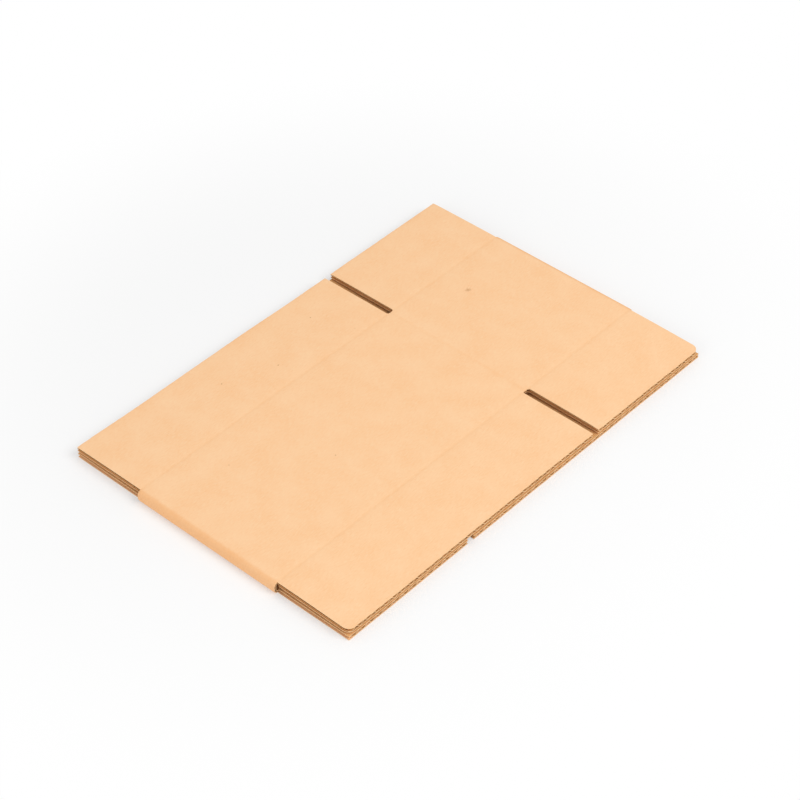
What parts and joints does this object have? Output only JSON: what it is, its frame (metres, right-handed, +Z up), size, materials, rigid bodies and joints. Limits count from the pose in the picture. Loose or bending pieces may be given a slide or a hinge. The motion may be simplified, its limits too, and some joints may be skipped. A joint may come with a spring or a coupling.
{
  "type": "flattened cardboard box",
  "caption": "Small slotted shipping box of brown single-wall corrugated board, glued into a sleeve and pressed flat, with slotted flaps and open flute edges.",
  "frame": {"origin": "middle of the underside of the flattened box", "axes": "+X across the panels from the left fold to the right fold, +Y along the flutes from the bottom flaps to the top flaps, +Z up through the thickness, out of the front layer"},
  "size_m": [0.302, 0.205, 0.008],
  "materials": {
    "kraft_board": "matte, uncoated kraft liner"
  },
  "bodies": {
    "root": {"flattened_box": "kraft_board"}
  },
  "joints": []
}
